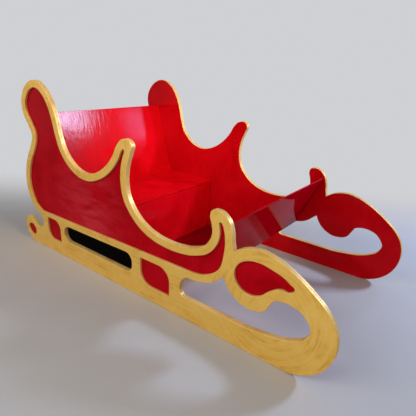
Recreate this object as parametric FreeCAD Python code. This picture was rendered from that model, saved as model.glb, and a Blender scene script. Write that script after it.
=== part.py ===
import FreeCAD, Part
import math
import os

# Open horse drawn sleigh built from painted sheet boards, in millimetres.
# The side profile is laid out with u running forward from the tail and w
# running up from the runner sole.  place() turns that layout into the assembly
# frame: +X forward, +Y to the sleigh's left, +Z up, with the origin on the
# ground under the middle of the sleigh.

# Sheet and board thicknesses.
PANEL_THICKNESS = 15.0
OVERLAY_THICKNESS = 15.0
BOARD_THICKNESS = 15.0
DASH_THICKNESS = 9.0
FLOOR_THICKNESS = 9.0
BACKING_THICKNESS = 3.0

# Overall layout.
SLEIGH_LENGTH = 2393.0
CABIN_WIDTH = 1120.0

# Features of the side profile.  A setback is measured back from the nose, a
# station forward from the tail, a height up from the sole.
NOSE_HEIGHT = 232.0
SOLE_FRONT_SETBACK = 228.0
SOLE_REAR_STATION = 150.0
CREST_SETBACK = 408.0
CREST_HEIGHT = 566.0
NOTCH_SETBACK = 545.0
NOTCH_HEIGHT = 514.0
FRONT_HORN_SETBACK = 648.0
FRONT_HORN_HEIGHT = 691.0
ENTRY_DIP_HEIGHT = 432.0
MIDDLE_HORN_STATION = 1128.0
MIDDLE_HORN_HEIGHT = 923.0
SEAT_DIP_STATION = 785.0
SEAT_DIP_HEIGHT = 662.0
HUMP_STATION = 318.0
HUMP_HEIGHT = 1157.0
NECK_STATION = 220.0
NECK_HEIGHT = 808.0
BELLY_STATION = 79.0
BELLY_HEIGHT = 458.0
HEEL_STATION = 243.0
HEEL_HEIGHT = 192.0
TAIL_NOTCH_STATION = 172.0
TAIL_NOTCH_HEIGHT = 138.0
CURL_STATION = 68.0
CURL_HEIGHT = 199.0
TAIL_HEIGHT = 108.0

# Slots between the runner and the body.
SLOT_ROOF_REAR = 242.0
SLOT_ROOF_FRONT = 256.0
REAR_SLOT_STATION = 489.0
REAR_SLOT_FLOOR = 131.0
REAR_SLOT_END_FLAT = 3.0
SLOT_SPACING = 371.0
FRONT_SLOT_SETBACK = 867.0
FRONT_SLOT_FLOOR = 137.0
FRONT_SLOT_REAR_HEIGHT = 185.0
FRONT_SLOT_LOWER_CORNER = 34.0
FRONT_SLOT_UPPER_CORNER = 64.0
FRONT_SLOT_LEVEL_SETBACK = 458.0
SLOT_END_SETBACK = 126.0
SLOT_END_HEIGHT = 261.0
CUSP_SETBACK = 314.0
CUSP_HEIGHT = 343.0
LOBE_SETBACK = 423.0
LOBE_HEIGHT = 246.0
PEAK_SETBACK = 587.0
PEAK_HEIGHT = 359.0

# Bends of the edge between two features: shares of the way from one to the
# next, along and up.  They list the points where the curve changes its bend.
SOLE_TO_NOSE = ((0.329, 0.065), (0.649, 0.25), (0.882, 0.539))
NOSE_TO_CREST = ((0.047, 0.281), (0.174, 0.497), (0.343, 0.662), (0.596, 0.853), (0.792, 0.955))
CREST_TO_NOTCH = ((0.496, 0.231),)
NOTCH_TO_HORN = ((0.078, 0.192), (0.155, 0.486), (0.417, 0.825))
HORN_TO_ENTRY = (
    (0.120, 0.042), (0.143, 0.158), (0.110, 0.282), (0.084, 0.459), (0.175, 0.726),
    (0.470, 0.927), (0.729, 0.988),
)
ENTRY_TO_HORN = (
    (0.297, 0.024), (0.566, 0.086), (0.799, 0.196), (0.961, 0.336), (1.023, 0.525),
    (0.984, 0.709), (0.896, 0.855), (0.857, 0.933), (0.903, 0.982),
)
HORN_TO_SEAT_DIP = ((0.102, 0.031), (0.207, 0.161), (0.318, 0.410), (0.513, 0.693), (0.746, 0.893))
SEAT_DIP_TO_HUMP = (
    (0.184, 0.016), (0.343, 0.095), (0.478, 0.234), (0.544, 0.390), (0.597, 0.582),
    (0.675, 0.764), (0.801, 0.915),
)
HUMP_TO_NECK = ((1.224, 0.129), (1.847, 0.487), (1.735, 0.642), (1.347, 0.805))
NECK_TO_BELLY = ((0.220, 0.211), (0.504, 0.380), (0.787, 0.600))
BELLY_TO_HEEL = ((0.189, 0.451), (0.451, 0.658), (0.774, 0.786))
HEEL_TO_TAIL_NOTCH = ((0.423, 0.796),)
TAIL_NOTCH_TO_CURL = ((0.404, 0.393),)
TAIL_TO_SOLE = ((0.267, 0.778),)
FLOOR_TO_SLOT_END = ((0.319, 0.081), (0.678, 0.282), (0.840, 0.484), (0.922, 0.621), (0.973, 0.839))
SLOT_END_TO_CUSP = ((0.154, 0.768), (0.585, 1.195))
CUSP_TO_LOBE = ((0.147, 0.320), (0.349, 0.722))
LOBE_TO_PEAK = ((0.616, 0.274),)
PEAK_TO_KNEE = ((0.069, 0.128), (0.292, 0.574), (0.690, 0.915))

# Headings of the edge in degrees, from forward towards up, where it is not free.
LEVEL = 0.0
NOTCH_HEADING = 96.0
SLOT_END_HEADING = 270.0
KNEE_HEADING = 181.0

# Trim band: an even width inside the body line, whose lower run leaves the
# outline at the heel and rises from the knee to the notch.  The cutter's radius
# rounds the field's narrow ends.
TRIM_WIDTH = 44.0
CUTTER_RADIUS = 9.0
TRIM_HEEL_STATION = 262.0
BELLY_TO_TRIM_HEEL = ((0.169, 0.548), (0.404, 0.799))
KNEE_TO_NOTCH = ((0.481, 0.104), (0.822, 0.373), (0.969, 0.944))

# Windows through the overlay: clearances to the slots beside them, floor, roof,
# and the two round corners.
WINDOW_FLOOR = 95.0
WINDOW_SHARP_RADIUS = 5.0
REAR_WINDOW_STATION = 297.0
REAR_WINDOW_POST = 45.0
REAR_WINDOW_ROOF = 251.0
REAR_WINDOW_RADIUS = 60.0
MIDDLE_WINDOW_REAR_POST = 71.0
MIDDLE_WINDOW_FRONT_POST = 74.0
MIDDLE_WINDOW_ROOF = 261.0
MIDDLE_WINDOW_RADIUS = 84.0

# Leaf windows: shares of the tail curl, and of the scroll from its cusp up.
TAIL_LEAF = ((0.174, 0.492), (0.465, 0.256), (0.750, 0.442), (0.442, 0.698))
SCROLL_LEAF = (
    (0.764, 0.417), (0.692, 0.538), (0.480, 0.682), (0.334, 0.722), (0.184, 0.668),
    (0.076, 0.525), (0.031, 0.323), (0.053, 0.126), (0.124, -0.022), (0.243, -0.090),
    (0.372, -0.022), (0.482, 0.175), (0.606, 0.323), (0.721, 0.336),
)

# Seat, backrest, riser and floor on the side layout.
SEAT_TOP = 413.0
SEAT_BACK = 417.0
SEAT_DEPTH = 447.0
RISER_PROUD = 2.0
RISER_GAP = 3.0
BACKREST_RISE = 558.0
BACKREST_RECLINE = 15.5
FLOOR_LIFT = 1.0
FLOOR_REACH = 424.0

# Dash: the foot of its front face, its height up the slope and its rake.
DASH_FOOT_SETBACK = 728.0
DASH_FOOT_HEIGHT = 278.0
DASH_RISE = 388.0
DASH_RAKE = 22.7

# Battens that carry the boards.
BATTEN = 30.0
BATTEN_SETBACK = 25.0
BACKREST_CLEAT_SHORT = 90.0
DASH_CLEAT_SHORT = 60.0

# Backing boards behind the rear slots.
BACKING_MARGIN_FRONT = 45.0
BACKING_MARGIN_BELOW = 25.0
BACKING_TOP = 267.0

HALF_CABIN = CABIN_WIDTH / 2.0
PANEL_OUTSIDE = HALF_CABIN + PANEL_THICKNESS
FRONT_HORN_STATION = SLEIGH_LENGTH - FRONT_HORN_SETBACK
FRONT_SLOT_STATION = SLEIGH_LENGTH - FRONT_SLOT_SETBACK
REAR_SLOT_FRONT = FRONT_SLOT_STATION - SLOT_SPACING
FLOOR_TOP = FLOOR_LIFT + FLOOR_THICKNESS
SEAT_FRONT = SEAT_BACK + SEAT_DEPTH
SEAT_UNDERSIDE = SEAT_TOP - BOARD_THICKNESS
RISER_FRONT = SEAT_FRONT + RISER_PROUD
RISER_BACK = RISER_FRONT - BOARD_THICKNESS
FLOOR_FRONT = RISER_FRONT + FLOOR_REACH

# Features as points of the side layout.
SOLE_REAR = (SOLE_REAR_STATION, 0.0)
SOLE_FRONT = (SLEIGH_LENGTH - SOLE_FRONT_SETBACK, 0.0)
NOSE = (SLEIGH_LENGTH, NOSE_HEIGHT)
CREST = (SLEIGH_LENGTH - CREST_SETBACK, CREST_HEIGHT)
NOTCH = (SLEIGH_LENGTH - NOTCH_SETBACK, NOTCH_HEIGHT)
FRONT_HORN = (FRONT_HORN_STATION, FRONT_HORN_HEIGHT)
ENTRY_DIP = ((MIDDLE_HORN_STATION + FRONT_HORN_STATION) / 2.0, ENTRY_DIP_HEIGHT)
MIDDLE_HORN = (MIDDLE_HORN_STATION, MIDDLE_HORN_HEIGHT)
SEAT_DIP = (SEAT_DIP_STATION, SEAT_DIP_HEIGHT)
HUMP = (HUMP_STATION, HUMP_HEIGHT)
NECK = (NECK_STATION, NECK_HEIGHT)
BELLY = (BELLY_STATION, BELLY_HEIGHT)
HEEL = (HEEL_STATION, HEEL_HEIGHT)
TAIL_NOTCH = (TAIL_NOTCH_STATION, TAIL_NOTCH_HEIGHT)
CURL = (CURL_STATION, CURL_HEIGHT)
TAIL = (0.0, TAIL_HEIGHT)
SLOT_END = (SLEIGH_LENGTH - SLOT_END_SETBACK, SLOT_END_HEIGHT)
CUSP = (SLEIGH_LENGTH - CUSP_SETBACK, CUSP_HEIGHT)
LOBE = (SLEIGH_LENGTH - LOBE_SETBACK, LOBE_HEIGHT)
PEAK = (SLEIGH_LENGTH - PEAK_SETBACK, PEAK_HEIGHT)
DASH_FOOT = (SLEIGH_LENGTH - DASH_FOOT_SETBACK, DASH_FOOT_HEIGHT)
LEFT = FreeCAD.Vector(0, 1, 0)
SIDES = (("left", 1.0), ("right", -1.0))


def place(u, w, y=0.0):
    """Point of the side layout in the assembly frame."""
    return FreeCAD.Vector(u - SLEIGH_LENGTH / 2.0, y, w)


def along(heading):
    """Unit direction of a heading in the side layout."""
    angle = math.radians(heading)
    return FreeCAD.Vector(math.cos(angle), 0, math.sin(angle))


def between(start, end, shares):
    """Points at shares of the way from one point to another, along and up."""
    return [(start[0] + (end[0] - start[0]) * ahead, start[1] + (end[1] - start[1]) * up)
            for ahead, up in shares]


def trace(*stops):
    """Knots of an edge: a feature, the bend to the next feature, that feature, and so on."""
    knots = [stops[0]]
    for bend, feature in zip(stops[1::2], stops[2::2]):
        knots += between(knots[-1], feature, bend)
        knots.append(feature)
    return knots


def tangent_arc(start, end, direction):
    """Arc from start to end that leaves start along direction."""
    chord = end - start
    turn = math.atan2(direction.x * chord.z - direction.z * chord.x, direction.dot(chord))
    if abs(turn) < 1e-4:
        return Part.makeLine(start, end)
    normal = FreeCAD.Vector(chord.z, 0, -chord.x)
    middle = start + chord * 0.5 + normal * (0.5 * math.tan(turn / 2.0))
    return Part.Arc(start, middle, end).toShape()


def reach(chord, leave, arrive):
    """Length of the equal tangent legs of the two arcs that span a chord."""
    both = leave + arrive
    spread = 2.0 * (1.0 - leave.dot(arrive))
    square = chord.dot(chord)
    if spread < 1e-9:
        return square / (4.0 * chord.dot(arrive))
    lean = chord.dot(both)
    return (math.sqrt(lean * lean + spread * square) - lean) / spread


def circle_tangent(back, ahead):
    """Direction at the middle of three knots of the circle through all three."""
    tangent = back * (ahead.Length / back.Length) + ahead * (back.Length / ahead.Length)
    return tangent.normalize()


def mirrored(direction, chord):
    """Direction mirrored about a chord: the other end of the same arc."""
    axis = FreeCAD.Vector(chord).normalize()
    return axis * (2.0 * axis.dot(direction)) - direction


def directions(points, first, last):
    """Edge direction at every knot; an end is free where its heading is None."""
    chords = [b - a for a, b in zip(points, points[1:])]
    inner = [circle_tangent(a, b) for a, b in zip(chords, chords[1:])]
    if points[0].isEqual(points[-1], 1e-6):
        seam = circle_tangent(chords[-1], chords[0])
        return [seam] + inner + [seam]
    start = mirrored(inner[0], chords[0]) if first is None else along(first)
    end = mirrored(inner[-1], chords[-1]) if last is None else along(last)
    return [start] + inner + [end]


def arcs(knots, first=None, last=None):
    """Smooth chain of arcs through knots, two arcs from each knot to the next."""
    points = [place(u, w) for u, w in knots]
    ways = directions(points, first, last)
    edges = []
    for start, end, leave, arrive in zip(points, points[1:], ways, ways[1:]):
        leg = reach(end - start, leave, arrive)
        knee_a = start + leave * leg
        knee_b = end - arrive * leg
        joint = (knee_a + knee_b) * 0.5
        edges.append(tangent_arc(start, joint, leave))
        edges.append(tangent_arc(joint, end, knee_b - knee_a))
    return edges


def line(a, b):
    """Straight edge between two knots."""
    return Part.makeLine(place(*a), place(*b))


def region(edges):
    """Flat face in the middle plane inside a closed chain of edges."""
    return Part.Face(Part.Wire(edges))


def slot_roof(u):
    """Height of the straight line along the roofs of the slots."""
    slope = (SLOT_ROOF_FRONT - SLOT_ROOF_REAR) / (REAR_SLOT_FRONT - REAR_SLOT_STATION)
    return SLOT_ROOF_REAR + (u - REAR_SLOT_STATION) * slope


def knee():
    """Point where the slot roof line starts to rise to the notch."""
    u = FRONT_SLOT_STATION + FRONT_SLOT_UPPER_CORNER
    return (u, slot_roof(u))


def body_edge():
    """Upper edge of the body, from the notch back over the horns to the belly."""
    return trace(
        NOTCH, NOTCH_TO_HORN, FRONT_HORN, HORN_TO_ENTRY, ENTRY_DIP, ENTRY_TO_HORN, MIDDLE_HORN,
        HORN_TO_SEAT_DIP, SEAT_DIP, SEAT_DIP_TO_HUMP, HUMP, HUMP_TO_NECK, NECK, NECK_TO_BELLY, BELLY,
    )


def sheet_outline():
    """Outer outline shared by the side panel and the overlay."""
    nose = trace(SOLE_FRONT, SOLE_TO_NOSE, NOSE, NOSE_TO_CREST, CREST, CREST_TO_NOTCH, NOTCH)
    tail = trace(
        BELLY, BELLY_TO_HEEL, HEEL, HEEL_TO_TAIL_NOTCH, TAIL_NOTCH, TAIL_NOTCH_TO_CURL, CURL, (),
        TAIL, TAIL_TO_SOLE, SOLE_REAR,
    )
    edges = [line(SOLE_REAR, SOLE_FRONT)]
    edges += arcs(nose, LEVEL)
    edges += arcs(body_edge() + tail[1:], NOTCH_HEADING, LEVEL)
    return region(edges)


def front_slot():
    """Long opening between the runner, the scroll and the body."""
    rear = (FRONT_SLOT_STATION, FRONT_SLOT_REAR_HEIGHT)
    corner = (FRONT_SLOT_STATION + FRONT_SLOT_LOWER_CORNER, FRONT_SLOT_FLOOR)
    level = (SLEIGH_LENGTH - FRONT_SLOT_LEVEL_SETBACK, FRONT_SLOT_FLOOR)
    edges = arcs([rear, corner], SLOT_END_HEADING, LEVEL)
    edges.append(line(corner, level))
    edges += arcs(trace(level, FLOOR_TO_SLOT_END, SLOT_END, SLOT_END_TO_CUSP, CUSP), LEVEL)
    edges += arcs(trace(CUSP, CUSP_TO_LOBE, LOBE, LOBE_TO_PEAK, PEAK))
    edges += arcs(trace(PEAK, PEAK_TO_KNEE, knee()), None, KNEE_HEADING)
    edges += arcs([knee(), rear], KNEE_HEADING, SLOT_END_HEADING)
    return region(edges)


def rounded(corners, radii):
    """Face inside corners, each rounded by its own radius."""
    count = len(corners)
    edges = []
    touches = []
    for i in range(count):
        here = place(*corners[i])
        back = (place(*corners[i - 1]) - here).normalize()
        ahead = (place(*corners[(i + 1) % count]) - here).normalize()
        half = back.getAngle(ahead) / 2.0
        trim = radii[i] / math.tan(half)
        bisector = (back + ahead).normalize()
        crown = here + bisector * (radii[i] / math.sin(half) - radii[i])
        touches.append((here + back * trim, crown, here + ahead * trim))
    for i in range(count):
        start, crown, end = touches[i]
        edges.append(Part.Arc(start, crown, end).toShape())
        edges.append(Part.makeLine(end, touches[(i + 1) % count][0]))
    return region(edges)


def rear_slot():
    """Long rounded opening under the seat."""
    radius = (SLOT_ROOF_REAR - REAR_SLOT_FLOOR - REAR_SLOT_END_FLAT) / 2.0
    corners = (
        (REAR_SLOT_STATION, REAR_SLOT_FLOOR), (REAR_SLOT_FRONT, REAR_SLOT_FLOOR),
        (REAR_SLOT_FRONT, SLOT_ROOF_FRONT), (REAR_SLOT_STATION, SLOT_ROOF_REAR),
    )
    return rounded(corners, [radius] * 4)


def window(rear, front, roof, radius):
    """Overlay window, round at its lower rear and upper front corners."""
    corners = upright(rear, front, WINDOW_FLOOR, roof)
    return rounded(corners, (radius, WINDOW_SHARP_RADIUS, radius, WINDOW_SHARP_RADIUS))


def leaf(start, end, shares):
    """Leaf-shaped window inside the box between two points."""
    knots = between(start, end, shares)
    return region(arcs(knots + knots[:1]))


def windows():
    """All windows through the overlay, from the tail to the scroll."""
    return [
        leaf((TAIL[0], SOLE_REAR[1]), (TAIL_NOTCH[0], CURL[1]), TAIL_LEAF),
        window(REAR_WINDOW_STATION, REAR_SLOT_STATION - REAR_WINDOW_POST, REAR_WINDOW_ROOF,
               REAR_WINDOW_RADIUS),
        window(REAR_SLOT_FRONT + MIDDLE_WINDOW_REAR_POST, FRONT_SLOT_STATION - MIDDLE_WINDOW_FRONT_POST,
               MIDDLE_WINDOW_ROOF, MIDDLE_WINDOW_RADIUS),
        leaf((NOTCH[0], CUSP[1]), (SLOT_END[0], CREST[1]), SCROLL_LEAF),
    ]


def trim_field():
    """Field inside the trim band, an even step in from the body line, with round ends."""
    heel = (TRIM_HEEL_STATION, slot_roof(TRIM_HEEL_STATION))
    rear = trace(BELLY, BELLY_TO_TRIM_HEEL, heel)
    top = body_edge()[1:]
    front = [knee()] + between(knee(), NOTCH, KNEE_TO_NOTCH) + top[:1]
    edges = arcs(top + rear[1:], NOTCH_HEADING, LEVEL)
    edges.append(line(heel, knee()))
    edges += arcs(front, LEVEL, NOTCH_HEADING)
    return region(edges).makeOffset2D(-TRIM_WIDTH - CUTTER_RADIUS).makeOffset2D(CUTTER_RADIUS)


def sheet(face, inside, thickness, side):
    """Sheet cut to a face of the side layout, standing from inside outward."""
    face = face.copy()
    face.translate(LEFT * (side * inside))
    return face.extrude(LEFT * (side * thickness))


def side_panel(side):
    """Red side panel with its two slots."""
    face = sheet_outline().cut([front_slot(), rear_slot()])
    return sheet(face, HALF_CABIN, PANEL_THICKNESS, side)


def trim_overlay(side):
    """Gold overlay: the panel outline with the field and windows cut out."""
    face = sheet_outline().cut([front_slot(), rear_slot(), trim_field()] + windows())
    return sheet(face, PANEL_OUTSIDE, OVERLAY_THICKNESS, side)


def board(corners, inside=-HALF_CABIN, outside=HALF_CABIN):
    """Board with a straight-sided end profile, running across the sleigh."""
    points = [place(u, w, inside) for u, w in corners]
    face = Part.Face(Part.makePolygon(points + points[:1]))
    return face.extrude(LEFT * (outside - inside))


def side_board(corners, side, thickness):
    """Board or batten that lies flat against the inside of one side panel."""
    outer = side * HALF_CABIN
    inner = side * (HALF_CABIN - thickness)
    return board(corners, min(outer, inner), max(outer, inner))


def upright(rear, front, bottom, top):
    """Corners of an upright rectangle on the side layout."""
    return ((rear, bottom), (front, bottom), (front, top), (rear, top))


def backrest_face(w, behind=0.0):
    """u of the backrest's front face at height w, or of a line behind it."""
    lean = math.radians(BACKREST_RECLINE)
    return SEAT_BACK - (w - SEAT_TOP) * math.tan(lean) - behind / math.cos(lean)


def against_backrest(front, bottom, top):
    """Corners of a profile whose rear edge leans against the backrest's face."""
    return ((backrest_face(bottom), bottom), (front, bottom), (front, top), (backrest_face(top), top))


def behind_backrest(near, far, bottom, top):
    """Corners of a profile behind the backrest's face, between two depths."""
    return ((backrest_face(bottom, far), bottom), (backrest_face(bottom, near), bottom),
            (backrest_face(top, near), top), (backrest_face(top, far), top))


def dash_profile(low, high, near, far):
    """Corners of a profile up the dash's slope, between two depths behind its face."""
    slope = along(90.0 - DASH_RAKE)
    normal = along(180.0 - DASH_RAKE)
    return [(DASH_FOOT[0] + slope.x * rise + normal.x * depth,
             DASH_FOOT[1] + slope.z * rise + normal.z * depth)
            for rise, depth in ((low, near), (high, near), (high, far), (low, far))]


def backrest_board():
    """Reclined backrest that stands on the floor board."""
    lean = math.radians(BACKREST_RECLINE)
    top = SEAT_TOP + BACKREST_RISE * math.cos(lean)
    drop = BOARD_THICKNESS * math.sin(lean)
    return board((
        (backrest_face(FLOOR_TOP), FLOOR_TOP),
        (backrest_face(top), top),
        (backrest_face(top) - BOARD_THICKNESS * math.cos(lean), top - drop),
        (backrest_face(FLOOR_TOP, BOARD_THICKNESS), FLOOR_TOP),
    ))


def seat_board():
    """Flat seat with its rear edge bevelled to the backrest."""
    return board(against_backrest(SEAT_FRONT, SEAT_UNDERSIDE, SEAT_TOP))


def seat_riser():
    """Upright board a shadow gap below the seat, fitted between the slot backings."""
    end = HALF_CABIN - BACKING_THICKNESS
    return board(upright(RISER_BACK, RISER_FRONT, FLOOR_TOP, SEAT_UNDERSIDE - RISER_GAP), -end, end)


def floor_board():
    """Low floor board just clear of the ground, open at its front."""
    rear = backrest_face(FLOOR_TOP, BOARD_THICKNESS)
    return board(upright(rear, FLOOR_FRONT, FLOOR_LIFT, FLOOR_TOP))


def dash_board():
    """Raked dash between the front horns."""
    return board(dash_profile(0.0, DASH_RISE, 0.0, DASH_THICKNESS))


def slot_backing(side):
    """Board behind the rear slot, from the backrest to just past the slot's front."""
    bottom = REAR_SLOT_FLOOR - BACKING_MARGIN_BELOW
    front = REAR_SLOT_FRONT + BACKING_MARGIN_FRONT
    return side_board(against_backrest(front, bottom, BACKING_TOP), side, BACKING_THICKNESS)


def seat_cleat(side):
    """Batten under the seat along the side panel."""
    return side_board(against_backrest(RISER_BACK, SEAT_UNDERSIDE - BATTEN, SEAT_UNDERSIDE), side, BATTEN)


def riser_block(side):
    """Short block behind the riser, between the slot backing and the seat cleat."""
    return side_board(upright(RISER_BACK - BATTEN, RISER_BACK, BACKING_TOP, SEAT_UNDERSIDE - BATTEN),
                      side, BATTEN)


def backrest_cleat(side):
    """Slanting batten behind the backrest."""
    top = SEAT_TOP + BACKREST_RISE * math.cos(math.radians(BACKREST_RECLINE)) - BACKREST_CLEAT_SHORT
    return side_board(behind_backrest(BOARD_THICKNESS, BOARD_THICKNESS + BATTEN, BACKING_TOP, top),
                      side, BATTEN)


def dash_cleat(side):
    """Slanting batten behind the dash."""
    return side_board(dash_profile(BATTEN_SETBACK, DASH_RISE - DASH_CLEAT_SHORT,
                                   DASH_THICKNESS, DASH_THICKNESS + BATTEN), side, BATTEN)


def floor_cleat(side):
    """Batten on the floor along the side panel, ahead of the riser."""
    return side_board(upright(RISER_FRONT + BATTEN_SETBACK, FLOOR_FRONT, FLOOR_TOP, FLOOR_TOP + BATTEN),
                      side, BATTEN)


def seat_rear_batten():
    """Cross batten under the rear of the seat, bevelled to the backrest."""
    bottom = SEAT_UNDERSIDE - BATTEN
    front = backrest_face(bottom) + BATTEN
    return board(against_backrest(front, bottom, SEAT_UNDERSIDE), BATTEN - HALF_CABIN, HALF_CABIN - BATTEN)


def seat_front_batten():
    """Cross batten behind the top of the riser."""
    return board(upright(RISER_BACK - BATTEN, RISER_BACK, SEAT_UNDERSIDE - BATTEN, SEAT_UNDERSIDE),
                 BATTEN - HALF_CABIN, HALF_CABIN - BATTEN)


def riser_foot_batten():
    """Cross batten on the floor behind the riser."""
    return board(upright(RISER_BACK - BATTEN, RISER_BACK, FLOOR_TOP, FLOOR_TOP + BATTEN))


def backrest_foot_batten():
    """Cross batten on the floor in front of the backrest, bevelled to it."""
    return board(against_backrest(backrest_face(FLOOR_TOP) + BATTEN, FLOOR_TOP, FLOOR_TOP + BATTEN))


def save(name, shape):
    """Write one piece under its node name."""
    if len(shape.Solids) == 1:
        shape = shape.Solids[0]
    shape.exportStep("parts/" + name + ".step")
    print(name, shape.ShapeType, len(shape.Solids), shape.isValid(), round(shape.Volume / 1000.0, 1))


os.makedirs("parts", exist_ok=True)
PAIRS = {
    "side_panel": side_panel, "trim_overlay": trim_overlay, "slot_backing": slot_backing,
    "seat_cleat": seat_cleat, "riser_block": riser_block, "backrest_cleat": backrest_cleat,
    "dash_cleat": dash_cleat, "floor_cleat": floor_cleat,
}
SINGLES = {
    "backrest_board": backrest_board, "seat_board": seat_board, "seat_riser": seat_riser,
    "floor_board": floor_board, "dash_board": dash_board, "seat_rear_batten": seat_rear_batten,
    "seat_front_batten": seat_front_batten, "riser_foot_batten": riser_foot_batten,
    "backrest_foot_batten": backrest_foot_batten,
}
for name, make in PAIRS.items():
    for side_name, side in SIDES:
        save(name + "_" + side_name, make(side))
for name, make in SINGLES.items():
    save(name, make())
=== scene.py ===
"""Looks of an open horse drawn sleigh, built over its packed boards.

The sleigh is a display piece cut from flat sheet: red enamelled sides under a
raised overlay painted gold, with a bench, a backrest, a riser, a low floor and
a raked dash between them.
"""

import logging
import math
from dataclasses import dataclass, field
from enum import Enum

import bmesh
import bpy
from mathutils import Matrix, Quaternion, Vector


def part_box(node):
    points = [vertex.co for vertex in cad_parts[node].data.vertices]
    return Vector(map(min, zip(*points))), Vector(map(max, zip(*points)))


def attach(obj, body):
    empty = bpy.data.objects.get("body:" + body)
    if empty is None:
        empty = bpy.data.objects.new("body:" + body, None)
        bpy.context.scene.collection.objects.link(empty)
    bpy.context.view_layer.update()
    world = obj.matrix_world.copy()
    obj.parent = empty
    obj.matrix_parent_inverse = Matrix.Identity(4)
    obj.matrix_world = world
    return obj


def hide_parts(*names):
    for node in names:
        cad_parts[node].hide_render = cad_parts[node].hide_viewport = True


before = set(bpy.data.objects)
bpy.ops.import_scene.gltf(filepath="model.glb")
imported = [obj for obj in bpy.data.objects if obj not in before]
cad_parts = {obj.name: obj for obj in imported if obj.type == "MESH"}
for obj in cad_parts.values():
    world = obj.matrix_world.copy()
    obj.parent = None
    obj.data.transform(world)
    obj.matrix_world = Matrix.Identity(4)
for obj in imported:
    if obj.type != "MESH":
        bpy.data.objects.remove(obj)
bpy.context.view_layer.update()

logging.basicConfig(level=logging.INFO, format="%(message)s")
log = logging.getLogger("sleigh")

MM = 0.001
BODY = "root"
SAME_PLACE = 0.01 * MM
# Values between which a noise of several octaves mostly lies.
NOISE_LOW = 0.35
NOISE_HIGH = 0.65


class Side(Enum):
    """The two long sides of the sleigh, by the sign of their Y."""

    LEFT = 1
    RIGHT = -1

    @property
    def label(self) -> str:
        """Ending of the node names on this side."""
        return self.name.lower()


class Brushing(Enum):
    """Way that the brush ran over a board, as the axis its marks are long on."""

    UP = "Z"
    ACROSS = "Y"


class Coat(Enum):
    """Coats of the red enamel on the different boards; some are drawn darker as painted shade."""

    BRUSHED_UP = "up"
    BRUSHED_ACROSS = "across"
    # Outside red drawn darker, with pale wisps: painted shade and painted reflection.
    HAZED = "hazed"
    # Smooth coat on the dash, drawn darker as painted shade.
    FLOWED = "flowed"
    # Rougher floor coat from scuffing, drawn darker as painted shade.
    TRODDEN = "trodden"


def linear(code: str) -> tuple[float, float, float, float]:
    """Turn an sRGB hex colour into the linear colour that Blender's nodes use.

    Args:
        code: Six hex digits, such as "a1121c".

    Returns:
        Red, green, blue and an alpha of 1.
    """
    channels = [int(code[i:i + 2], 16) / 255 for i in (0, 2, 4)]
    return (*(c / 12.92 if c <= 0.04045 else ((c + 0.055) / 1.055) ** 2.4 for c in channels), 1.0)


def deselect_all() -> None:
    """Leave object mode and deselect every object."""
    if bpy.context.object and bpy.context.object.mode != "OBJECT":
        bpy.ops.object.mode_set(mode="OBJECT")
    bpy.ops.object.select_all(action="DESELECT")


def pick(piece: bpy.types.Object) -> None:
    """Make one object the only selected and the active one.

    Args:
        piece: The object.
    """
    deselect_all()
    piece.select_set(True)
    bpy.context.view_layer.objects.active = piece


def add_node(tree: bpy.types.NodeTree, kind: str, inputs: dict[str | int, object] | None = None,
             **settings: object) -> bpy.types.Node:
    """Add a shader node, set it up and link it.

    Args:
        tree: Node tree that gets the node.
        kind: Node type without its "ShaderNode" beginning.
        inputs: Values or output sockets for the node's inputs, by name or number.
        **settings: Attributes of the node itself.

    Returns:
        The new node.
    """
    node = tree.nodes.new("ShaderNode" + kind)
    for name, value in settings.items():
        setattr(node, name, value)
    for key, value in (inputs or {}).items():
        socket = node.inputs[key]
        if isinstance(value, bpy.types.NodeSocket):
            tree.links.new(value, socket)
        else:
            socket.default_value = value
    return node


def new_material(name: str) -> tuple[bpy.types.Material, bpy.types.NodeTree]:
    """Start an empty node material.

    Args:
        name: Name of the real material and its finish.

    Returns:
        The material and its empty node tree.
    """
    material = bpy.data.materials.new(name)
    material.use_nodes = True
    material.node_tree.nodes.clear()
    return material, material.node_tree


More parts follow.
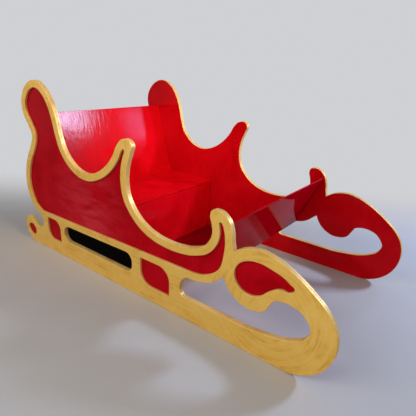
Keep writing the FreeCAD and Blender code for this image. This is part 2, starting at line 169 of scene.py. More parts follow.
@dataclass(frozen=True)
class RedEnamel:
    """Gloss alkyd enamel brushed over primed plywood.

    Gives a deep pure red with fine brush marks, a wet shine that wavers a little
    with the board, and slight cloudiness where the coat is thin. Real bristle
    marks are under 1 mm wide, too fine to show, so they are drawn coarser, and
    the sags between tufts are drawn deeper so that they break up the shine.
    """

    name: str = "gloss_alkyd_enamel_red"
    deep: str = "ae0008"
    full: str = "cd0816"
    brushing: Brushing = Brushing.UP
    stroke_mm: float = 220.0
    cloud_mm: float = 260.0
    bristle_share: float = 0.3
    gloss: float = 0.095
    drag: float = 0.08
    ior: float = 1.5
    # Lower than for bare enamel, because dust on it dulls what it mirrors.
    shine: float = 0.07
    wave_mm: float = 130.0
    wave_depth_mm: float = 0.5
    wave_strength: float = 0.5
    tuft_mm: float = 18.0
    tuft_depth_mm: float = 0.9
    tuft_strength: float = 0.7
    bristle_mm: float = 3.5
    bristle_depth_mm: float = 0.1
    bristle_strength: float = 0.3

    def brush_marks(self, tree: bpy.types.NodeTree, place: bpy.types.NodeSocket, width_mm: float,
                    detail: float) -> bpy.types.NodeSocket:
        """Add a noise drawn out along the brush's way.

        Args:
            tree: Node tree that gets the nodes.
            place: Object coordinates.
            width_mm: Width of one mark.
            detail: Octaves of the noise.

        Returns:
            The noise's value.
        """
        across = 1 / (width_mm * MM)
        along = 1 / (self.stroke_mm * MM)
        scale = [along if axis == self.brushing.value else across for axis in "XYZ"]
        stretched = add_node(tree, "Mapping", {"Vector": place, "Scale": scale})
        noise = add_node(tree, "TexNoise", {"Vector": stretched.outputs["Vector"], "Scale": 1.0,
                                            "Detail": detail})
        return noise.outputs["Fac"]

    def add_painted_reflection(self, tree: bpy.types.NodeTree, place: bpy.types.NodeSocket,
                paint: bpy.types.NodeSocket) -> bpy.types.NodeSocket:
        """Colour of the paint before any painted reflection is laid over it; here there is none."""
        return paint

    def build(self) -> bpy.types.Material:
        """Build the enamel's nodes.

        Returns:
            The material.
        """
        material, tree = new_material(self.name)
        place = add_node(tree, "TexCoord").outputs["Object"]
        bristle = self.brush_marks(tree, place, self.bristle_mm, 3.0)
        tuft = self.brush_marks(tree, place, self.tuft_mm, 1.0)
        cloud = add_node(tree, "TexNoise", {"Vector": place, "Scale": 1 / (self.cloud_mm * MM),
                                            "Detail": 5.0, "Roughness": 0.6, "Distortion": 0.8})
        wave = add_node(tree, "TexNoise", {"Vector": place, "Scale": 1 / (self.wave_mm * MM), "Detail": 2.0})
        cover = add_node(tree, "Mix", {"Factor": self.bristle_share, "A": cloud.outputs["Fac"], "B": bristle})
        share = add_node(tree, "MapRange", {"Value": cover.outputs["Result"], "From Min": NOISE_LOW,
                                            "From Max": NOISE_HIGH})
        paint = add_node(tree, "Mix", {"Factor": share.outputs["Result"], "A": linear(self.deep),
                                       "B": linear(self.full)}, data_type="RGBA")
        rough = add_node(tree, "MapRange", {"Value": cover.outputs["Result"], "From Min": NOISE_LOW,
                                            "From Max": NOISE_HIGH, "To Min": self.gloss + self.drag,
                                            "To Max": self.gloss})
        level = add_node(tree, "Bump", {"Height": wave.outputs["Fac"], "Strength": self.wave_strength,
                                        "Distance": self.wave_depth_mm * MM})
        sag = add_node(tree, "Bump", {"Height": tuft, "Strength": self.tuft_strength,
                                      "Distance": self.tuft_depth_mm * MM, "Normal": level.outputs["Normal"]})
        ridge = add_node(tree, "Bump", {"Height": bristle, "Strength": self.bristle_strength,
                                        "Distance": self.bristle_depth_mm * MM,
                                        "Normal": sag.outputs["Normal"]})
        colour = self.add_painted_reflection(tree, place, paint.outputs["Result"])
        shader = add_node(tree, "BsdfPrincipled", {"Base Color": colour,
                                                   "Roughness": rough.outputs["Result"], "IOR": self.ior,
                                                   "Specular IOR Level": self.shine,
                                                   "Normal": ridge.outputs["Normal"]})
        add_node(tree, "OutputMaterial", {"Surface": shader.outputs["BSDF"]})
        return material


@dataclass(frozen=True)
class ShadedReflectingEnamel(RedEnamel):
    """The same enamel on the outsides, drawn darker as painted shade.

    Gives a deeper red, which is painted shade, with less shine and, over the middle of the panel, thin pale
    wisps of painted reflection; they fade out towards the ends.
    """

    name: str = "gloss_alkyd_enamel_red_hazed"
    # The outside's red is drawn darker than the inside's: painted shade.
    deep: str = "a1000a"
    full: str = "be0718"
    shine: float = 0.03
    # Pale wisps laid over the paint: a painted reflection.
    reflection_tint: str = "cc3440"
    reflection_share: float = 0.74
    # In metres, over the middle of the panel. Y is left out, so that both sides fade alike.
    reflection_centre: tuple[float, float, float] = (-0.46, 0.0, 0.42)
    reflection_axes: tuple[float, float, float] = (1.0, 0.0, 1.0)
    reflection_reach: float = 0.46
    wisp_long_mm: float = 240.0
    wisp_wide_mm: float = 58.0
    wisp_degrees: float = 24.0
    wisp_curl: float = 0.6

    def add_painted_reflection(self, tree: bpy.types.NodeTree, place: bpy.types.NodeSocket,
                paint: bpy.types.NodeSocket) -> bpy.types.NodeSocket:
        """Lay the wisps of painted reflection over the paint.

        Args:
            tree: Node tree that gets the nodes.
            place: Object coordinates.
            paint: The new paint's colour.

        Returns:
            The hazed colour.
        """
        long, wide = 1 / (self.wisp_long_mm * MM), 1 / (self.wisp_wide_mm * MM)
        drawn = add_node(tree, "Mapping", {"Vector": place, "Scale": (long, wide, wide),
                                           "Rotation": (0.0, math.radians(self.wisp_degrees), 0.0)})
        wisp = add_node(tree, "TexNoise", {"Vector": drawn.outputs["Vector"], "Scale": 1.0, "Detail": 3.0,
                                           "Distortion": self.wisp_curl})
        veil = add_node(tree, "MapRange", {"Value": wisp.outputs["Fac"], "From Min": NOISE_LOW,
                                           "From Max": NOISE_HIGH, "To Max": self.reflection_share})
        flat = add_node(tree, "VectorMath", {0: place, 1: self.reflection_axes}, operation="MULTIPLY")
        away = add_node(tree, "VectorMath", {0: flat.outputs["Vector"], 1: self.reflection_centre},
                        operation="DISTANCE")
        near = add_node(tree, "MapRange", {"Value": away.outputs["Value"], "From Min": 0.0,
                                           "From Max": self.reflection_reach, "To Min": 1.0, "To Max": 0.0},
                        interpolation_type="SMOOTHSTEP")
        share = add_node(tree, "Math", {0: near.outputs["Result"], 1: veil.outputs["Result"]},
                         operation="MULTIPLY")
        hazed = add_node(tree, "Mix", {"Factor": share.outputs["Value"], "A": paint, "B": linear(self.reflection_tint)},
                         data_type="RGBA")
        return hazed.outputs["Result"]


@dataclass(frozen=True)
class Turn:
    """A bend of the trim, round which the brush was drawn.

    The centre is X and Z, and it, the reach and the fade are in metres. The
    seam, where the angle starts over, points where the sleigh has no gold.
    """

    centre: tuple[float, float]
    reach: float
    fade: float
    seam_degrees: float


@dataclass(frozen=True)
class GoldPaint:
    """Metallic gold paint laid over plywood with a flat brush.

    Gives a satin yellow sheen from the flakes, faint streaks that follow the
    runner and turn round its scroll and the dips, and slightly browner patches
    where the flakes lie thin. Real bristle marks are too fine to show, so they
    are drawn coarser.
    """

    name: str = "metallic_gold_paint_brushed"
    thin: str = "d69e3e"
    full: str = "f0be57"
    bright: str = "f5ca6c"
    thin_at: float = 0.34
    full_at: float = 0.48
    bright_at: float = 0.66
    stroke_mm: float = 240.0
    bristle_mm: float = 2.2
    bristle_share: float = 0.45
    sweep_mm: float = 16.0
    patch_mm: float = 90.0
    patch_share: float = 0.45
    ridge_mm: float = 0.3
    ridge_strength: float = 0.5
    thin_roughness: float = 0.48
    full_roughness: float = 0.36
    # Flakes in a binder: part metal, part paint.
    metallic: float = 0.3
    shine: float = 0.2
    sawn: bool = False
    turns: tuple[Turn, ...] = (
        Turn(centre=(0.86, 0.27), reach=0.34, fade=0.12, seam_degrees=180.0),
        Turn(centre=(0.26, 0.76), reach=0.42, fade=0.08, seam_degrees=90.0),
        Turn(centre=(-0.44, 0.92), reach=0.36, fade=0.08, seam_degrees=90.0),
        Turn(centre=(-0.88, 1.02), reach=0.15, fade=0.05, seam_degrees=270.0),
    )

    def round_turn(self, tree: bpy.types.NodeTree, place: bpy.types.NodeSocket, way: bpy.types.NodeSocket,
                   turn: Turn) -> bpy.types.NodeSocket:
        """Bend the brush's way round one turn, and fade back outside it.

        Args:
            tree: Node tree that gets the nodes.
            place: Object coordinates.
            way: The brush's way so far.
            turn: Bend to go round.

        Returns:
            A vector socket: X along the strokes, Y through the sheet, Z across the strokes.
        """
        centre = (turn.centre[0], 0.0, turn.centre[1])
        arm = add_node(tree, "VectorMath", {0: place, 1: centre}, operation="SUBTRACT")
        swing = math.radians(turn.seam_degrees - 180.0)
        facing = add_node(tree, "Mapping", {"Vector": arm.outputs["Vector"], "Rotation": (0.0, swing, 0.0)})
        xyz = add_node(tree, "SeparateXYZ", {"Vector": facing.outputs["Vector"]})
        flat = add_node(tree, "CombineXYZ", {"X": xyz.outputs["X"], "Z": xyz.outputs["Z"]})
        distance = add_node(tree, "VectorMath", {0: flat.outputs["Vector"]}, operation="LENGTH")
        angle = add_node(tree, "Math", {0: xyz.outputs["Z"], 1: xyz.outputs["X"]}, operation="ARCTAN2")
        arc = add_node(tree, "Math", {0: angle.outputs["Value"], 1: turn.reach}, operation="MULTIPLY")
        bent = add_node(tree, "CombineXYZ", {"X": arc.outputs["Value"], "Y": xyz.outputs["Y"],
                                             "Z": distance.outputs["Value"]})
        share = add_node(tree, "MapRange", {"Value": distance.outputs["Value"], "From Min": turn.reach,
                                            "From Max": turn.reach + turn.fade, "To Min": 1.0, "To Max": 0.0})
        mixed = add_node(tree, "Mix", {"Factor": share.outputs["Result"], "A": way,
                                       "B": bent.outputs["Vector"]}, data_type="VECTOR")
        return mixed.outputs["Result"]

    def marks(self, tree: bpy.types.NodeTree, way: bpy.types.NodeSocket, width_mm: float,
              detail: float) -> bpy.types.NodeSocket:
        """Add a noise drawn out along the brush's way, or round the rim on a sawn edge.

        Args:
            tree: Node tree that gets the nodes.
            way: The brush's way.
            width_mm: Width of one mark.
            detail: Octaves of the noise.

        Returns:
            The noise's value.
        """
        along = 1 / (self.stroke_mm * MM)
        across = 1 / (width_mm * MM)
        drawn = add_node(tree, "Mapping", {"Vector": way,
                                           "Scale": (along, across, along if self.sawn else across)})
        noise = add_node(tree, "TexNoise", {"Vector": drawn.outputs["Vector"], "Scale": 1.0,
                                            "Detail": detail})
        return noise.outputs["Fac"]

    def build(self) -> bpy.types.Material:
        """Build the gold paint's nodes.

        Returns:
            The material.
        """
        material, tree = new_material(self.name)
        place = add_node(tree, "TexCoord").outputs["Object"]
        way = place
        for turn in self.turns:
            way = self.round_turn(tree, place, way, turn)
        bristle = self.marks(tree, way, self.bristle_mm, 3.0)
        sweep = self.marks(tree, way, self.sweep_mm, 2.0)
        patch = add_node(tree, "TexNoise", {"Vector": place, "Scale": 1 / (self.patch_mm * MM), "Detail": 5.0,
                                            "Roughness": 0.65})
        strokes = add_node(tree, "Mix", {"Factor": self.bristle_share, "A": sweep, "B": bristle})
        cover = add_node(tree, "Mix", {"Factor": self.patch_share, "A": strokes.outputs["Result"],
                                       "B": patch.outputs["Fac"]})
        tone = add_node(tree, "ValToRGB", {"Fac": cover.outputs["Result"]})
        first, last = tone.color_ramp.elements
        first.position, first.color = self.thin_at, linear(self.thin)
        last.position, last.color = self.bright_at, linear(self.bright)
        tone.color_ramp.elements.new(self.full_at).color = linear(self.full)
        rough = add_node(tree, "MapRange", {"Value": cover.outputs["Result"], "From Min": NOISE_LOW,
                                            "From Max": NOISE_HIGH, "To Min": self.thin_roughness,
                                            "To Max": self.full_roughness})
        ridge = add_node(tree, "Bump", {"Height": strokes.outputs["Result"], "Strength": self.ridge_strength,
                                        "Distance": self.ridge_mm * MM})
        shader = add_node(tree, "BsdfPrincipled", {"Base Color": tone.outputs["Color"],
                                                   "Metallic": self.metallic,
                                                   "Specular IOR Level": self.shine,
                                                   "Roughness": rough.outputs["Result"],
                                                   "Normal": ridge.outputs["Normal"]})
        add_node(tree, "OutputMaterial", {"Surface": shader.outputs["BSDF"]})
        return material


@dataclass(frozen=True)
class MattBlack:
    """Matt black emulsion rolled on hardboard.

    Gives a dark without shine, faintly stippled, that reads as an empty opening.
    """

    name: str = "matt_emulsion_black_on_hardboard"
    tone: str = "020202"
    grey: str = "060505"
    stipple_mm: float = 2.5
    stipple_depth_mm: float = 0.2
    stipple_strength: float = 0.3
    roughness: float = 0.85
    ior: float = 1.45
    shine: float = 0.03

    def build(self) -> bpy.types.Material:
        """Build the matt black's nodes.

        Returns:
            The material.
        """
        material, tree = new_material(self.name)
        place = add_node(tree, "TexCoord").outputs["Object"]
        stipple = add_node(tree, "TexNoise", {"Vector": place, "Scale": 1 / (self.stipple_mm * MM),
                                              "Detail": 2.0})
        dust = add_node(tree, "Mix", {"Factor": stipple.outputs["Fac"], "A": linear(self.tone),
                                      "B": linear(self.grey)}, data_type="RGBA")
        bump = add_node(tree, "Bump", {"Height": stipple.outputs["Fac"], "Strength": self.stipple_strength,
                                       "Distance": self.stipple_depth_mm * MM})
        shader = add_node(tree, "BsdfPrincipled", {"Base Color": dust.outputs["Result"],
                                                   "Roughness": self.roughness, "IOR": self.ior,
                                                   "Specular IOR Level": self.shine,
                                                   "Normal": bump.outputs["Normal"]})
        add_node(tree, "OutputMaterial", {"Surface": shader.outputs["BSDF"]})
        return material


@dataclass(frozen=True)
class PaintedBatten:
    """Sawn softwood with one coat of the red enamel.

    Gives a duller, rougher red through which the grain still shows.
    """

    name: str = "sawn_pine_one_coat_red"
    deep: str = "7e0a0c"
    full: str = "a3080e"
    grain_mm: float = 8.3
    grain_depth_mm: float = 0.4
    grain_strength: float = 0.5
    roughness: float = 0.55
    ior: float = 1.48

    def build(self) -> bpy.types.Material:
        """Build the batten paint's nodes.

        Returns:
            The material.
        """
        material, tree = new_material(self.name)
        place = add_node(tree, "TexCoord").outputs["Object"]
        grain = add_node(tree, "TexNoise", {"Vector": place, "Scale": 1 / (self.grain_mm * MM), "Detail": 5.0,
                                            "Roughness": 0.7})
        coat = add_node(tree, "Mix", {"Factor": grain.outputs["Fac"], "A": linear(self.deep),
                                      "B": linear(self.full)}, data_type="RGBA")
        bump = add_node(tree, "Bump", {"Height": grain.outputs["Fac"], "Strength": self.grain_strength,
                                       "Distance": self.grain_depth_mm * MM})
        shader = add_node(tree, "BsdfPrincipled", {"Base Color": coat.outputs["Result"],
                                                   "Roughness": self.roughness, "IOR": self.ior,
                                                   "Normal": bump.outputs["Normal"]})
        add_node(tree, "OutputMaterial", {"Surface": shader.outputs["BSDF"]})
        return material


@dataclass
class PaintShop:
    """All the finishes of the sleigh, built once and handed to the pieces."""

    coats: dict[Coat, bpy.types.Material] = field(init=False)
    gold: bpy.types.Material = field(init=False)
    gold_edge: bpy.types.Material = field(init=False)
    black: bpy.types.Material = field(init=False)
    batten: bpy.types.Material = field(init=False)

    def __post_init__(self) -> None:
        """Build every material."""
        name = "gloss_alkyd_enamel_red_"
        enamels = {
            Coat.BRUSHED_UP: RedEnamel(name=name + "brushed_up"),
            Coat.BRUSHED_ACROSS: RedEnamel(name=name + "brushed_across", brushing=Brushing.ACROSS),
            # The outsides' enamel carries painted shade and a painted reflection.
            Coat.HAZED: ShadedReflectingEnamel(),
            # The dash's enamel is drawn darker: painted shade; its smooth flow is real.
            Coat.FLOWED: RedEnamel(name=name + "flowed", deep="9c000c", full="b00011",
                                   brushing=Brushing.ACROSS, gloss=0.03, drag=0.03, shine=0.02,
                                   wave_mm=240.0, tuft_depth_mm=0.08),
            # The floor's enamel is drawn darker: painted shade of the footwell; its roughness is scuffing.
            Coat.TRODDEN: RedEnamel(name=name + "trodden", deep="66000a", full="80000d",
                                    brushing=Brushing.ACROSS, gloss=0.3, drag=0.2),
        }
        self.coats = {coat: enamel.build() for coat, enamel in enamels.items()}
        self.gold = GoldPaint().build()
        self.gold_edge = GoldPaint(name="metallic_gold_paint_on_sawn_edge", thin="b08344", full="d8ae64",
                                   bright="e8c688", sweep_mm=7.0, sawn=True, turns=()).build()
        self.black = MattBlack().build()
        self.batten = PaintedBatten().build()


@dataclass
class Board:
    """A board of the sleigh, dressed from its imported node.

    The node's loose triangles are merged to clean faces on a copy, and the
    arrises are rounded the way sanding and paint leave them.
    """

    node: str
    name: str
    material_slot: str
    arris_mm: float = 1.5
    steps: int = 3
    level_degrees: float = 0.2
    square_degrees: float = 40.0
    round_degrees: float = 35.0
    flat_weight: int = 100

    def copy_node(self) -> bpy.types.Object:
        """Copy the node's mesh into a new object with its triangles merged.

        Returns:
            The new object, selected and active.
        """
        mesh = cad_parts[self.node].data.copy()
        mesh.name = self.name
        mesh.materials.clear()
        piece = bpy.data.objects.new(self.name, mesh)
        bpy.context.scene.collection.objects.link(piece)
        pick(piece)
        bpy.ops.object.mode_set(mode="EDIT")
        bpy.ops.mesh.customdata_custom_splitnormals_clear()
        bpy.ops.mesh.select_all(action="SELECT")
        bpy.ops.mesh.remove_doubles(threshold=SAME_PLACE)
        bpy.ops.mesh.dissolve_limited(angle_limit=math.radians(self.level_degrees))
        bpy.ops.mesh.select_all(action="DESELECT")
        bpy.ops.object.mode_set(mode="OBJECT")
        return piece

    def is_arris(self, edge: bmesh.types.BMEdge) -> bool:
        """True for an edge that is square enough to be rounded."""
        return len(edge.link_faces) == 2 and edge.calc_face_angle(0.0) > math.radians(self.square_degrees)

    def round_arrises(self, piece: bpy.types.Object) -> None:
        """Bevel the edges that is_arris picks.

        Args:
            piece: The board's object.
        """
        pick(piece)
        bpy.ops.object.mode_set(mode="EDIT")
        bpy.ops.mesh.select_mode(type="EDGE")
        shape = bmesh.from_edit_mesh(piece.data)
        for edge in shape.edges:
            edge.select_set(self.is_arris(edge))
        bmesh.update_edit_mesh(piece.data)
        bpy.ops.mesh.bevel(offset=self.arris_mm * MM, segments=self.steps, clamp_overlap=False)
        bpy.ops.mesh.select_all(action="DESELECT")
        bpy.ops.object.mode_set(mode="OBJECT")

    def smooth(self, piece: bpy.types.Object) -> None:
        """Shade the rounds smooth and keep the broad faces flat.

        Args:
            piece: The board's object.
        """
        pick(piece)
        bpy.ops.object.shade_smooth_by_angle(angle=math.radians(self.round_degrees))
        level = piece.modifiers.new("flat_faces", "WEIGHTED_NORMAL")
        level.keep_sharp = True
        level.weight = self.flat_weight
        bpy.ops.object.modifier_apply(modifier=level.name)

    def dress(self, piece: bpy.types.Object, shop: PaintShop) -> None:
        """Give the piece its materials."""
        raise NotImplementedError

    def make(self, shop: PaintShop) -> bpy.types.Object:
        """Build, dress and place the piece.

        Args:
            shop: The finishes.

        Returns:
            The finished piece, riding on the body.
        """
        piece = self.copy_node()
        self.round_arrises(piece)
        self.smooth(piece)
        self.dress(piece, shop)
        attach(piece, BODY)
        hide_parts(self.node)
        log.info("%s: %d faces", piece.name, len(piece.data.polygons))
        return piece


@dataclass
class EnamelBoard(Board):
    """A flat board enamelled red all over."""

    material_slot: str = "red_enamel"
    coat: Coat = Coat.BRUSHED_UP

    def dress(self, piece: bpy.types.Object, shop: PaintShop) -> None:
        """Paint the whole board with its coat of the enamel."""
        piece.data.materials.append(shop.coats[self.coat])


@dataclass
class SidePanel(Board):
    """Red side panel whose sawn edge is painted gold with the overlay's."""

    material_slot: str = "red_enamel"
    arris_mm: float = 2.2
    side: Side = Side.LEFT
    face_tilt: float = 0.99

    def finish_of(self, face: bpy.types.MeshPolygon) -> int:
        """Choose the finish of one face.

        Args:
            face: Face of the panel.

        Returns:
            0 outside, 1 towards the cabin and 2 on the sawn edge and its rounds.
        """
        outward = face.normal.y * self.side.value
        if abs(outward) <= self.face_tilt:
            return 2
        return 0 if outward > 0 else 1

    def dress(self, piece: bpy.types.Object, shop: PaintShop) -> None:
        """Paint the outside a darker red with painted shade and painted reflection, the inside red, and the
        edge and its rounds gold.

        Args:
            piece: The panel's object.
            shop: The finishes.
        """
        for finish in (shop.coats[Coat.HAZED], shop.coats[Coat.BRUSHED_UP], shop.gold_edge):
            piece.data.materials.append(finish)
        for face in piece.data.polygons:
            face.material_index = self.finish_of(face)


@dataclass
class TrimOverlay(Board):
    """Gold overlay with a rounded outer rim."""

    material_slot: str = "gold_paint"
    arris_mm: float = 3.0
    steps: int = 4
    side: Side = Side.LEFT
    joint_mm: float = 1.8
    face_tilt: float = 0.6

    def plane(self, out: int) -> float:
        """Y of the outer face for 1, or of the one against the panel for -1."""
        low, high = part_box(self.node)
        return high.y if out * self.side.value > 0 else low.y

    def round_rim(self, piece: bpy.types.Object, out: int, radius_mm: float, steps: int) -> None:
        """Round one rim by sinking its face and stepping it back out with insets.

        Args:
            piece: The overlay, in edit mode with face select on.
            out: 1 for the outer face, -1 for the one against the panel.
            radius_mm: Radius of the round.
            steps: Insets over the quarter circle; 1 makes a plain chamfer.
        """
        shape = bmesh.from_edit_mesh(piece.data)
        plane = self.plane(out)
        for face in shape.faces:
            face.select_set(abs(face.calc_center_median().y - plane) < SAME_PLACE)
        bmesh.update_edit_mesh(piece.data)
        radius = radius_mm * MM
        bpy.ops.transform.translate(value=(0.0, -out * self.side.value * radius, 0.0))
        inward, outward = 0.0, 0.0
        for step in range(1, steps + 1):
            angle = math.radians(90 * step / steps)
            reach, height = radius * (1 - math.cos(angle)), radius * math.sin(angle)
            bpy.ops.mesh.inset(thickness=reach - inward, depth=height - outward, use_interpolate=False)
            inward, outward = reach, height

    def round_arrises(self, piece: bpy.types.Object) -> None:
        """Round the outer rim, and chamfer the inner one so that a groove marks the joint.

        Args:
            piece: The overlay's object.
        """
        pick(piece)
        bpy.ops.object.mode_set(mode="EDIT")
        bpy.ops.mesh.select_mode(type="FACE")
        self.round_rim(piece, 1, self.arris_mm, self.steps)
        self.round_rim(piece, -1, self.joint_mm, 1)
        bpy.ops.mesh.select_all(action="DESELECT")
        bpy.ops.object.mode_set(mode="OBJECT")

    def dress(self, piece: bpy.types.Object, shop: PaintShop) -> None:
        """Paint the faces with brushed gold, and the sawn edge all round with the edge's.

        Args:
            piece: The overlay's object.
            shop: The finishes.
        """
        piece.data.materials.append(shop.gold)
        piece.data.materials.append(shop.gold_edge)
        for face in piece.data.polygons:
            face.material_index = 0 if abs(face.normal.y) > self.face_tilt else 1


@dataclass
class SlotBacking(Board):
    """Backing behind a rear slot, black outside and red towards the cabin."""

    material_slot: str = "black_backing"
    arris_mm: float = 0.8
    steps: int = 2
    side: Side = Side.LEFT
    face_tilt: float = 0.6

    def dress(self, piece: bpy.types.Object, shop: PaintShop) -> None:
        """Paint the outer face black and the rest red.

        Args:
            piece: The backing's object.
            shop: The finishes.
        """
        piece.data.materials.append(shop.coats[Coat.BRUSHED_UP])
        piece.data.materials.append(shop.black)
        for face in piece.data.polygons:
            face.material_index = 1 if face.normal.y * self.side.value > self.face_tilt else 0


@dataclass
class Batten(Board):
    """Sawn batten that carries the boards."""

    material_slot: str = "bare_batten"
    steps: int = 2

    def dress(self, piece: bpy.types.Object, shop: PaintShop) -> None:
        """Paint the batten with its single coat."""
        piece.data.materials.append(shop.batten)


@dataclass
class SleighSide:
    """One side of the sleigh: panel, overlay, slot backing and battens."""

    side: Side
    battens: tuple[str, ...] = ("seat_cleat", "riser_block", "backrest_cleat", "dash_cleat", "floor_cleat")

    def make(self, shop: PaintShop) -> None:
        """Build every piece of this side.

        Args:
            shop: The finishes.
        """
        end = self.side.label
        SidePanel(f"side_panel_{end}", f"red_panel_{end}", side=self.side).make(shop)
        TrimOverlay(f"trim_overlay_{end}", f"gold_trim_{end}", side=self.side).make(shop)
        SlotBacking(f"slot_backing_{end}", f"backing_{end}", side=self.side).make(shop)
        for kind in self.battens:
            Batten(f"{kind}_{end}", f"painted_{kind}_{end}").make(shop)


@dataclass
class Cabin:
    """The boards and battens that run across between the sides."""

    battens: tuple[str, ...] = ("seat_rear_batten", "seat_front_batten", "riser_foot_batten",
                                "backrest_foot_batten")

    def make(self, shop: PaintShop) -> None:
        """Build every board and batten of the cabin.

        Args:
            shop: The finishes.
        """
        EnamelBoard("backrest_board", "backrest").make(shop)
        EnamelBoard("seat_board", "seat", coat=Coat.BRUSHED_ACROSS).make(shop)
        EnamelBoard("seat_riser", "riser").make(shop)
        EnamelBoard("floor_board", "cabin_floor", coat=Coat.TRODDEN).make(shop)
        EnamelBoard("dash_board", "dash", coat=Coat.FLOWED).make(shop)
        for kind in self.battens:
            Batten(kind, f"painted_{kind}").make(shop)


@dataclass(frozen=True)
class Softbox:
    """A soft lamp that lights the sleigh and shows only in its gloss.

    Places and sizes are in metres; it faces its target.
    """

    name: str
    place: tuple[float, float, float]
    target: tuple[float, float, float]
    size: tuple[float, float]
    watts: float
    tint: str = "ffffff"
    roll_degrees: float = 0.0
    spread_degrees: float = 180.0

    def hang(self) -> None:
        """Hang the lamp in its place."""
        lamp = bpy.data.lights.new(self.name, "AREA")
        lamp.shape = "RECTANGLE"
        lamp.size, lamp.size_y = self.size
        lamp.energy = self.watts
        lamp.color = linear(self.tint)[:3]
        lamp.spread = math.radians(self.spread_degrees)
        box = bpy.data.objects.new(self.name, lamp)
        aim = Vector(self.target) - Vector(self.place)
        facing = aim.to_track_quat("-Z", "Y") @ Quaternion((0.0, 0.0, 1.0), math.radians(self.roll_degrees))
        box.rotation_euler = facing.to_euler()
        box.location = self.place
        box.visible_camera = False
        bpy.context.scene.collection.objects.link(box)


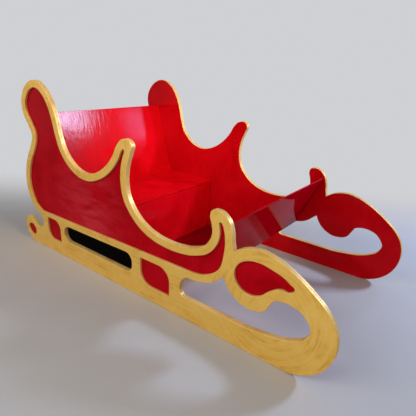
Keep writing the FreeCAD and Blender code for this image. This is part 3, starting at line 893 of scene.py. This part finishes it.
@dataclass
class Studio:
    """Pale floor, soft light and the camera; lengths are in metres."""

    floor_size: float = 40.0
    floor_drop: float = 0.5 * MM
    floor_tone: str = "b4b0aa"
    floor_fleck: str = "bcb8b2"
    floor_fleck_size: float = 0.33
    floor_roughness: float = 0.8
    floor_shine: float = 0.2
    backdrop_tone: str = "cfd0d3"
    # The floor turns into the backdrop behind the sleigh, and far out all round.
    sweep_way: tuple[float, float, float] = (-0.58, 0.81, 0.0)
    sweep_start: float = 0.4
    sweep_end: float = 2.0
    ring_start: float = 3.0
    ring_end: float = 6.5
    sky_tone: str = "f0f3ff"
    sky_strength: float = 0.3
    camera_place: tuple[float, float, float] = (1.4955, -1.981, 1.323)
    camera_right: tuple[float, float, float] = (0.7973, 0.6010, 0.0552)
    camera_up: tuple[float, float, float] = (-0.2743, 0.2794, 0.9202)
    camera_back: tuple[float, float, float] = (0.5376, -0.7488, 0.3876)
    lens_mm: float = 33.70
    sensor_mm: float = 36.0
    rise: float = 0.0409
    # The first two also make the two bright patches in the gloss of the backrest.
    softboxes: tuple[Softbox, ...] = (
        Softbox("window_softbox", place=(3.1, 2.5, 2.5), target=(-0.8, -0.3, 0.8), size=(0.7, 0.45),
                watts=170.0, tint="bcd4ff", roll_degrees=-25.0),
        Softbox("far_side_softbox", place=(1.44, 2.6, 1.62), target=(-0.85, 0.2, 0.75), size=(0.32, 0.5),
                watts=11.0, tint="c0b4ff"),
        Softbox("cabin_softbox", place=(1.35, -0.5, 2.45), target=(-0.65, 0.35, 0.7), size=(0.9, 0.6),
                watts=8.0, tint="ffdcb4", spread_degrees=58.0),
        Softbox("near_softbox", place=(-0.3, -3.1, 2.6), target=(0.1, -0.5, 0.4), size=(2.8, 1.4),
                watts=56.0),
        Softbox("toe_softbox", place=(2.2, -2.7, 1.3), target=(0.9, -0.5, 0.3), size=(1.0, 0.8),
                watts=13.0),
    )

    def make_camera(self) -> None:
        """Add the camera at the photograph's viewpoint."""
        camera = bpy.data.cameras.new("view")
        camera.lens = self.lens_mm
        camera.sensor_width = self.sensor_mm
        camera.shift_y = self.rise
        viewpoint = bpy.data.objects.new("view", camera)
        turn = Matrix((self.camera_right, self.camera_up, self.camera_back)).transposed()
        viewpoint.matrix_world = Matrix.Translation(self.camera_place) @ turn.to_4x4()
        bpy.context.scene.collection.objects.link(viewpoint)
        bpy.context.scene.camera = viewpoint

    def make_floor(self) -> None:
        """Add the pale floor, which keeps the shadow and fades into the backdrop far out."""
        deselect_all()
        bpy.ops.mesh.primitive_plane_add(size=self.floor_size, location=(0.0, 0.0, -self.floor_drop))
        floor = bpy.context.active_object
        floor.name = "studio_floor"
        material, tree = new_material("pale_studio_floor")
        place = add_node(tree, "TexCoord").outputs["Object"]
        fleck = add_node(tree, "TexNoise", {"Vector": place, "Scale": 1 / self.floor_fleck_size,
                                            "Detail": 3.0})
        tone = add_node(tree, "Mix", {"Factor": fleck.outputs["Fac"], "A": linear(self.floor_tone),
                                      "B": linear(self.floor_fleck)}, data_type="RGBA")
        paper = add_node(tree, "BsdfPrincipled", {"Base Color": tone.outputs["Result"],
                                                  "Roughness": self.floor_roughness,
                                                  "Specular IOR Level": self.floor_shine})
        behind = add_node(tree, "VectorMath", {0: place, 1: self.sweep_way}, operation="DOT_PRODUCT")
        sweep = add_node(tree, "MapRange", {"Value": behind.outputs["Value"], "From Min": self.sweep_start,
                                            "From Max": self.sweep_end}, interpolation_type="SMOOTHSTEP")
        out = add_node(tree, "VectorMath", {0: place}, operation="LENGTH")
        ring = add_node(tree, "MapRange", {"Value": out.outputs["Value"], "From Min": self.ring_start,
                                           "From Max": self.ring_end}, interpolation_type="SMOOTHSTEP")
        faded = add_node(tree, "Math", {0: sweep.outputs["Result"], 1: ring.outputs["Result"]},
                         operation="MAXIMUM")
        share = add_node(tree, "Math", {0: faded.outputs["Value"], 1: self.seen_ray(tree)},
                         operation="MULTIPLY")
        backdrop = add_node(tree, "Emission", {"Color": linear(self.backdrop_tone), "Strength": 1.0})
        mixed = add_node(tree, "MixShader", {"Fac": share.outputs["Value"], 1: paper.outputs["BSDF"],
                                             2: backdrop.outputs["Emission"]})
        add_node(tree, "OutputMaterial", {"Surface": mixed.outputs["Shader"]})
        floor.data.materials.append(material)

    def seen_ray(self, tree: bpy.types.NodeTree) -> bpy.types.NodeSocket:
        """Tell the rays that see the backdrop: from the camera, or by way of gloss or glass.

        Args:
            tree: Node tree that gets the nodes.

        Returns:
            A socket that is 1 for such a ray and else 0.
        """
        path = add_node(tree, "LightPath")
        plain = add_node(tree, "Math", {0: path.outputs["Is Glossy Ray"], 1: path.outputs["Is Camera Ray"]},
                         operation="MAXIMUM")
        seen = add_node(tree, "Math", {0: plain.outputs["Value"], 1: path.outputs["Is Transmission Ray"]},
                        operation="MAXIMUM")
        return seen.outputs["Value"]

    def make_world(self) -> None:
        """Light the scene softly from all round and show a pale backdrop."""
        world = bpy.data.worlds.new("studio")
        bpy.context.scene.world = world
        world.use_nodes = True
        tree = world.node_tree
        tree.nodes.clear()
        soft = add_node(tree, "Background", {"Color": linear(self.sky_tone), "Strength": self.sky_strength})
        seen = add_node(tree, "Background", {"Color": linear(self.backdrop_tone), "Strength": 1.0})
        mix = add_node(tree, "MixShader", {"Fac": self.seen_ray(tree), 1: soft.outputs["Background"],
                                           2: seen.outputs["Background"]})
        add_node(tree, "OutputWorld", {"Surface": mix.outputs["Shader"]})

    def make(self) -> None:
        """Set up the camera, floor, world and lamps."""
        self.make_camera()
        self.make_floor()
        self.make_world()
        for softbox in self.softboxes:
            softbox.hang()
        bpy.context.scene.view_settings.view_transform = "Standard"


def main() -> None:
    """Build the studio, the two sides and the cabin in order."""
    Studio().make()
    shop = PaintShop()
    for side in Side:
        SleighSide(side).make(shop)
    Cabin().make(shop)
    deselect_all()


if __name__ == "__main__":
    main()
